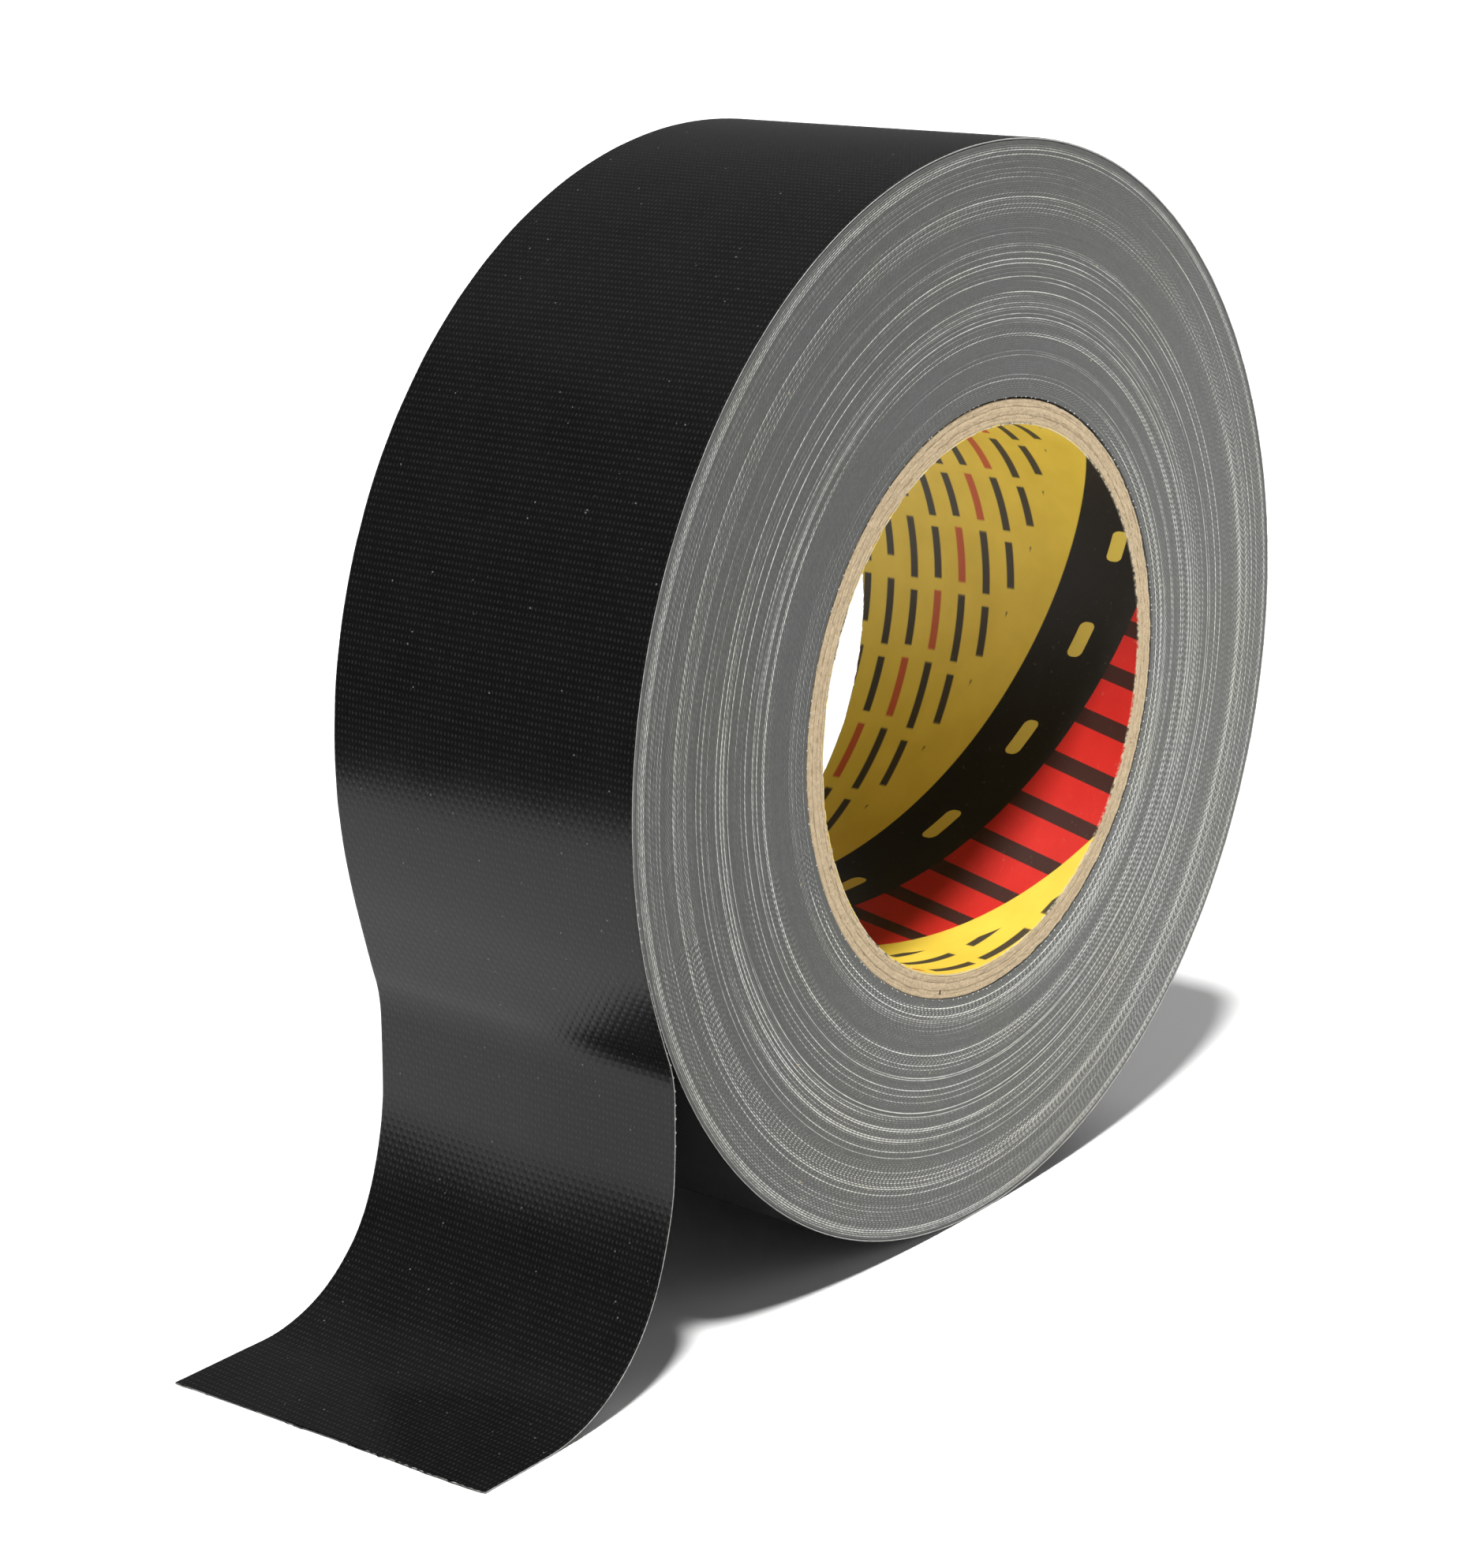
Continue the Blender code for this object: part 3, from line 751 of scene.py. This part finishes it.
def wound_half(side):
    """The wound turns from the middle plane to one face: a spiral of ridges, two rings of points a turn."""
    style = np.random.RandomState(40 + side)
    rings_count = 2 * TURNS + 1
    i = np.arange(rings_count)[:, None]
    j = np.arange(AROUND + 1)[None, :]
    angle = FIRST + TAU * j / AROUND
    radius = PACK_INSIDE + TURN_PITCH * (i / 2 + j / AROUND)
    angle = np.broadcast_to(angle, radius.shape)
    crest = (i % 2 == 1).astype(float)
    length = (i - 1) / 2 + j / AROUND
    bright = arcs(length, style)
    quick = smooth_noise(length + 3, 0.0040, 60 + side)
    slow = smooth_noise(length + 3, 0.13, 64 + side)
    drift = smooth_noise(radius, 2.3 * MM, 66 + side) + 0.5 * smooth_noise(radius, 0.9 * MM, 67 + side)
    across = 0.6 * np.cos(2 * angle + 1.0) + 0.4 * np.cos(5 * angle + 2.2 * side)
    woven = np.clip(0.50 + 0.15 * slow + 0.35 * drift + 0.25 * across, 0, 1)
    thread = bright * crest * (1 + 0.12 * quick)
    height = (
        -0.05 * MM
        + crest * (0.035 + 0.008 * slow) * MM
        + thread * 0.070 * MM
        + drift * 0.008 * MM
        + style.normal(0, 0.003, radius.shape) * MM
    )
    painted_shade_slope = np.cos(angle - math.radians(120))          # painted shade: the cut edge is made darker towards the upper left and lighter towards the lower right, as the light falls on the face; the thread arcs' brightness is shifted with it
    tone = (
        0.35
        - 0.09 * painted_shade_slope
        + 0.03 * crest
        + 0.02 * quick
        + 0.012 * slow * crest
        + 0.012 * drift
        + 0.012 * across
        + (0.58 + 0.08 * painted_shade_slope) * thread
        + style.normal(0, 0.030, radius.shape)
    )
    # the strip's own column j = AROUND is the next turn's column 0
    tone[:-2, AROUND], height[:-2, AROUND] = tone[2:, 0], height[2:, 0]
    woven[:-2, AROUND] = woven[2:, 0]
    lift = np.maximum(0, -(radius + THICKNESS + 0.03 * MM) * np.sin(angle) - AXIS_Z)
    z = AXIS_Z + radius * np.sin(angle) + lift
    face = np.stack([radius * np.cos(angle), side * (HALF_WIDTH + height), z], -1)

    index = np.full((rings_count, AROUND + 1), -1)
    index[:, :AROUND] = np.arange(rings_count * AROUND).reshape(rings_count, AROUND)
    index[:-2, AROUND] = index[2:, 0]
    extra = rings_count * AROUND
    index[-2, AROUND], index[-1, AROUND] = extra, extra + 1
    points = np.concatenate([face[:, :AROUND].reshape(-1, 3), face[-2:, AROUND]])
    tones = np.concatenate([tone[:, :AROUND].ravel(), tone[-2:, AROUND]])
    wovens = np.concatenate([woven[:, :AROUND].ravel(), woven[-2:, AROUND]])
    quads = [np.stack([index[:-1, :-1], index[1:, :-1], index[1:, 1:], index[:-1, 1:]], -1).reshape(-1, 4)]

    outer_loop = np.concatenate([index[-1], [index[-2, AROUND]]])    # ends in the step back to the start
    inner_loop = np.concatenate([index[0], [index[1, 0]]])
    low_outer = np.arange(len(outer_loop)) + len(points)
    low_inner = np.arange(len(inner_loop)) + len(points) + len(outer_loop)
    flat_outer, flat_inner = points[outer_loop].copy(), points[inner_loop].copy()
    flat_outer[:, 1] = 0
    flat_inner[:, 1] = 0
    points = np.concatenate([points, flat_outer, flat_inner])
    hidden = len(outer_loop) + len(inner_loop)
    tones = np.concatenate([tones, np.full(hidden, 0.2)])
    wovens = np.concatenate([wovens, np.zeros(hidden)])
    for a, b, c, d in (
        (outer_loop, low_outer, np.roll(low_outer, -1), np.roll(outer_loop, -1)),
        (inner_loop, np.roll(inner_loop, -1), np.roll(low_inner, -1), low_inner),
        (low_outer, low_inner, np.roll(low_inner, -1), np.roll(low_outer, -1)),
    ):
        quads.append(np.stack([a, b, c, d], -1))
    name = "wound_turns_front" if side < 0 else "wound_turns_back"
    values = {"tone": tones, "woven": wovens}
    obj = make(name, points, quads, turns_material, smooth_angle=75, attributes=values)
    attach(obj, "roll")
    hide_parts("wound_tape")


wound_half(-1)
wound_half(1)


# ---------------------------------------------------------------- the board core and its liner
def ply_boundary(number, angle, y):
    """Where one ply ends and the next starts: round inside, a little wavy at the rims."""
    radius = BORE_RADIUS + LINER + PLY_GAP / 2 + number * (PLY + PLY_GAP)
    rim = fade(np.abs(y), CORE_HALF - 2.5 * MM, CORE_HALF)
    turn = (angle % TAU) / TAU
    wander = 0
    for k, (size, cycles) in enumerate(((0.09, 3), (0.07, 8), (0.045, 21), (0.03, 47))):
        wander = wander + size * np.sin(TAU * cycles * turn + 2.4 * number + 1.7 * k)
    inner = 1.0 if 0 < number < PLIES else 0.25
    return radius + inner * wander * rim * MM


GROOVES = (0.9, 0.25, 0.9, 0.15, 0.75, 0.2, 0.8)    # how deep each groove between plies is at the rim
BOARD_RADIUS, PAPER_RADIUS = 39, 38                 # mm: turn an angle into a length for the noise


def board_ply(number):
    """One ply of the board core: an open strip with its helical butt seam, rough at the rims."""
    around, along, through = 640, 20, 5
    style = np.random.RandomState(80 + number)
    y = np.linspace(-CORE_HALF, CORE_HALF, along + 1)
    y = np.sort(np.concatenate([y, [-CORE_HALF + 0.5 * MM, CORE_HALF - 0.5 * MM]]))
    seam = TAU * 0.382 * number + y / (0.5 * BOARD_RADIUS * MM)
    gap = 0.35 * MM / (BOARD_RADIUS * MM)
    u = np.linspace(0, 1, around + 1)
    angle = seam[None, :, None] + gap / 2 + u[:, None, None] * (TAU - gap)
    y_all = np.broadcast_to(y[None, :, None], (around + 1, len(y), through))
    angle = np.broadcast_to(angle, y_all.shape)
    share = np.linspace(0, 1, through)[None, None, :]
    at_rim = fade(np.abs(y_all), CORE_HALF - 0.4 * MM, CORE_HALF)
    gap_here = PLY_GAP / 2 * (1 - 0.8 * at_rim)
    inside = ply_boundary(number - 1, angle, y_all) + gap_here
    outside = ply_boundary(number, angle, y_all) - gap_here
    radius = inside + (outside - inside) * share
    turn = (angle % TAU) * BOARD_RADIUS
    rough = smooth_noise(turn, 0.9, 90 + number, 0.05) + smooth_noise(turn, 0.25, 97 + number, 0.045)
    rough = rough + style.uniform(-0.035, 0.035, y_all.shape)
    deep = np.where(share > 0.5, GROOVES[number], GROOVES[number - 1])
    groove = np.abs(share * 2 - 1) ** 3 * deep
    y_out = y_all + np.sign(y_all) * at_rim * (rough - 0.09 * groove + 0.03 * math.sin(number * 2.1)) * MM
    points = np.stack([radius * np.cos(angle), y_out, AXIS_Z + radius * np.sin(angle)], -1)
    edge = at_rim * groove
    used, quads = shell(points)
    obj = make(
        f"core_ply_{number}_board", points.reshape(-1, 3)[used], [quads], board_material,
        attributes={"edge": edge.ravel()[used]},
    )
    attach(obj, "roll")
    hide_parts(f"core_ply_{number}")


for number in range(1, PLIES + 1):
    board_ply(number)


def liner():
    """The printed liner: an open strip on the bore, torn a little at the rims, its edges just lapped."""
    around, along = 720, 50
    y = np.linspace(-CORE_HALF, CORE_HALF, along + 1)
    y = np.sort(np.concatenate([y, [-CORE_HALF + 0.3 * MM, CORE_HALF - 0.3 * MM]]))
    strip_edge = 50.0                       # mm across the strip, where its two edges meet
    seam = (strip_edge / STRIP_COS - y / MM) / STRIP_SLOPE / (BORE_RADIUS / MM)
    gap = 0.12 * MM / BORE_RADIUS
    u = np.linspace(0, 1, around + 1)
    angle = seam[None, :, None] - TAU + gap / 2 + u[:, None, None] * (TAU - gap)
    angle = np.broadcast_to(angle, (around + 1, len(y), 2)).copy()
    y_all = np.broadcast_to(y[None, :, None], angle.shape)
    radius = BORE_RADIUS + np.array([0.0, LINER])[None, None, :]
    at_rim = fade(np.abs(y_all), CORE_HALF - 0.3 * MM, CORE_HALF)
    turn = (angle % TAU) * PAPER_RADIUS
    torn = smooth_noise(turn, 1.1, 131, 0.10) + smooth_noise(turn, 0.3, 132, 0.06)
    y_out = y_all - np.sign(y_all) * at_rim * np.maximum(torn, -0.02) * MM
    lap = np.exp(-((u * 60) ** 2))[:, None, None] * 0.05 * MM
    radius = radius - lap + smooth_noise(angle * PAPER_RADIUS + 900, 9.0, 133, 0.03) * MM
    points = np.stack([radius * np.cos(angle), y_out, AXIS_Z + radius * np.sin(angle)], -1)
    s = angle * BORE_RADIUS / MM
    y_mm = y_all / MM
    q = (y_mm + STRIP_SLOPE * s) * STRIP_COS
    used, quads = shell(points)
    flat = np.stack([s, y_mm, q], -1).reshape(-1, 3)
    obj = make(
        "core_liner_print", points.reshape(-1, 3)[used], [quads], liner_material,
        attributes={"print": flat[used], "edge": at_rim.ravel()[used]},
    )
    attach(obj, "roll")
    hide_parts("core_liner")


liner()


# ---------------------------------------------------------------- loose fibres and thread ends
BOARD_FIBRES, TUFTS = 420, 46
THREAD_PLACES = 210                     # round each face; about a quarter stay empty


def tubes(name, paths, widths, material):
    """Many fine tapering threads as one piece: five-sided, closed at both ends."""
    points, faces, base = [], [], 0
    for path, width in zip(paths, widths):
        path = np.asarray(path)
        along = np.gradient(path, axis=0)
        along /= np.linalg.norm(along, axis=1)[:, None]
        side = np.cross(along, (0.31, 0.52, 0.79))
        side /= np.linalg.norm(side, axis=1)[:, None]
        other = np.cross(along, side)
        taper = np.linspace(1, 0.55, len(path))[:, None]
        ring = [
            path + width * taper * (math.cos(a) * side + math.sin(a) * other)
            for a in (0, TAU / 5, 2 * TAU / 5, 3 * TAU / 5, 4 * TAU / 5)
        ]
        block = np.stack(ring, 1)
        found = sweep(block)
        faces.append(found[0] + base)
        faces.append([v + base for v in found[1]])
        faces.append([v + base for v in found[2]])
        points.append(block.reshape(-1, 3))
        base += block.shape[0] * block.shape[1]
    obj = make(name, np.concatenate(points), faces, material)
    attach(obj, "roll")


def rim_point(angle, radius, y):
    """A point at angle round the roll's axis."""
    return np.array([radius * math.cos(angle), y, AXIS_Z + radius * math.sin(angle)])


def core_fibres():
    """Fibres torn up along the board's two rims, and tufts that hang into the bore."""
    paths, widths = [], []
    for _ in range(BOARD_FIBRES):
        side = 1 if random.uniform() < 0.4 else -1
        angle = random.uniform(0, TAU)
        radius = BORE_RADIUS + (0.2 + 3.1 * random.uniform() ** 1.2) * MM
        turn = random.uniform(-0.02, 0.02)
        rise = random.uniform(0.02, 0.16) * MM
        inward = random.uniform(-0.25, 0.25) * MM
        path = []
        for t in np.linspace(0, 1, 6):
            lift = rise * math.sin(math.pi * min(1, t * 1.1)) - 0.05 * MM
            y = side * (CORE_HALF + 0.03 * MM + lift)
            path.append(rim_point(angle + turn * t, radius + inward * t * t, y))
        paths.append(path)
        widths.append(random.uniform(0.015, 0.035) * MM)
    for _ in range(TUFTS):                                # these hang into the bore
        side = 1 if random.uniform() < 0.3 else -1
        angle = random.uniform(0, TAU)
        turn = random.uniform(-0.03, 0.03)
        drop = random.uniform(0.2, 0.9) * MM
        path = []
        for t in np.linspace(0, 1, 7):
            path.append(rim_point(
                angle + turn * t,
                BORE_RADIUS + 0.25 * MM - drop * t * t * 0.8,
                side * (CORE_HALF - 0.05 * MM + 0.12 * MM * math.sin(math.pi * t)),
            ))
        paths.append(path)
        widths.append(random.uniform(0.02, 0.05) * MM)
    tubes("core_rim_fibres", paths, widths, fibre_material)


core_fibres()


def boundary_threads():
    """Thread ends where the first turn meets the core, on both faces."""
    paths, widths = [], []
    for side in (-1, 1):
        for k in range(THREAD_PLACES):
            angle = TAU * k / THREAD_PLACES + random.uniform(-0.012, 0.012)
            if random.uniform() < 0.25:
                continue
            radius = PACK_INSIDE + (0.08 + random.uniform(0, 0.18)) * MM
            reach = random.uniform(0.02, 0.10) * MM
            lean = random.uniform(-0.004, 0.004)
            path = []
            for t in np.linspace(0, 1, 3):
                y = side * (HALF_WIDTH - 0.08 * MM + (reach + 0.06 * MM) * t)
                path.append(rim_point(angle + lean * t, radius + 0.1 * MM * t, y))
            paths.append(path)
            widths.append(random.uniform(0.05, 0.10) * MM)
    tubes("inner_thread_ends", paths, widths, thread_material)


boundary_threads()


# ---------------------------------------------------------------- studio
FLOOR_REACH = 9.0                       # metres from the middle to each side of the floor
WALL_RADIUS, WALL_TOP, WALL_SIDES = 8.5, 7.0, 64
CARD_AWAY, CARD_HEIGHT, CARD_REACH = 0.228, 0.4, 0.5    # from the roll, up, and to each side of its middle


def studio_piece(name, points, faces, material, hidden_from=()):
    """A piece of the studio, not seen by the kinds of ray in hidden_from."""
    mesh = bpy.data.meshes.new(name)
    mesh.from_pydata([tuple(p) for p in points], [], faces)
    mesh.materials.append(material)
    obj = bpy.data.objects.new(name, mesh)
    for kind in hidden_from:
        setattr(obj, "visible_" + kind, False)
    bpy.context.scene.collection.objects.link(obj)
    return obj


def card_paint():
    """Matt black, for reflections only."""
    p = Paint("studio_flag")
    grain = p.noise(p.place(), 0.05)
    colour = p.mix(grain, (0.004, 0.004, 0.004), (0.006, 0.006, 0.006))
    return p.finish(colour, 0.95, p.bump(grain, 0.0001, 0.05), Specular_IOR_Level=0.0)


def light(name, kind, energy, towards, **settings):
    """A light that shines from the direction towards."""
    data = bpy.data.lights.new(name, kind)
    data.energy = energy
    for key, value in settings.items():
        setattr(data, key, value)
    obj = bpy.data.objects.new(name, data)
    obj.rotation_mode = "QUATERNION"
    obj.rotation_quaternion = Vector(towards).to_track_quat("Z", "Y")
    bpy.context.scene.collection.objects.link(obj)
    return obj


floor = studio_piece(
    "studio_floor",
    [(x * FLOOR_REACH, y * FLOOR_REACH, 0) for x, y in ((-1, -1), (1, -1), (1, 1), (-1, 1))],
    [(0, 1, 2, 3)],
    floor_paint("studio_floor"),
)
floor.location.z = -0.02 * MM           # just below the roll and the tail

# a pale wall all round, which only the camera sees, behind the floor's horizon in low views
wall_turn = [TAU * k / WALL_SIDES for k in range(WALL_SIDES)]
wall = studio_piece(
    "studio_wall",
    [(WALL_RADIUS * math.cos(a), WALL_RADIUS * math.sin(a), h) for h in (-0.01, WALL_TOP) for a in wall_turn],
    [(k, (k + 1) % WALL_SIDES, WALL_SIDES + (k + 1) % WALL_SIDES, WALL_SIDES + k) for k in range(WALL_SIDES)],
    floor_paint("studio_wall", 0.5),
    ("diffuse", "glossy", "transmission", "shadow"),
)
wall.data.shade_smooth()

# a black card, which only reflections see: it makes the film's dark half
away = Vector((-0.78, 0.62, 0)).normalized()
along = Vector((0.62, 0.78, 0)).normalized()
foot = Vector((-ROLL_RADIUS, 0, 0)) + away * CARD_AWAY
left, right = foot - along * CARD_REACH, foot + along * CARD_REACH
rise = Vector((0, 0, CARD_HEIGHT))
card = studio_piece(
    "studio_flag", [left, right, right + rise, left + rise], [(0, 1, 2, 3)], card_paint(),
    ("camera", "diffuse", "shadow"),
)

# the key shines as the photo's shadow falls; the fill lights the face from low on the right
light("key", "SUN", 5.0, (-0.326, -0.20, 1.0), angle=math.radians(7))
fill_place, fill_aim = Vector((0.27, -0.30, 0.06)), Vector((0.02, 0, 0.05))
fill = light("fill", "AREA", 0.62, fill_place - fill_aim, shape="SQUARE", size=0.26)
fill.location = fill_place
fill.visible_camera = False
light("side", "SUN", 0.9, (0.62, 0.12, 0.75), angle=math.radians(40))

world = bpy.data.worlds.new("studio")
world.use_nodes = True
background = world.node_tree.nodes["Background"]
background.inputs["Color"].default_value = (1, 1, 1, 1)
background.inputs["Strength"].default_value = 0.11
bpy.context.scene.world = world
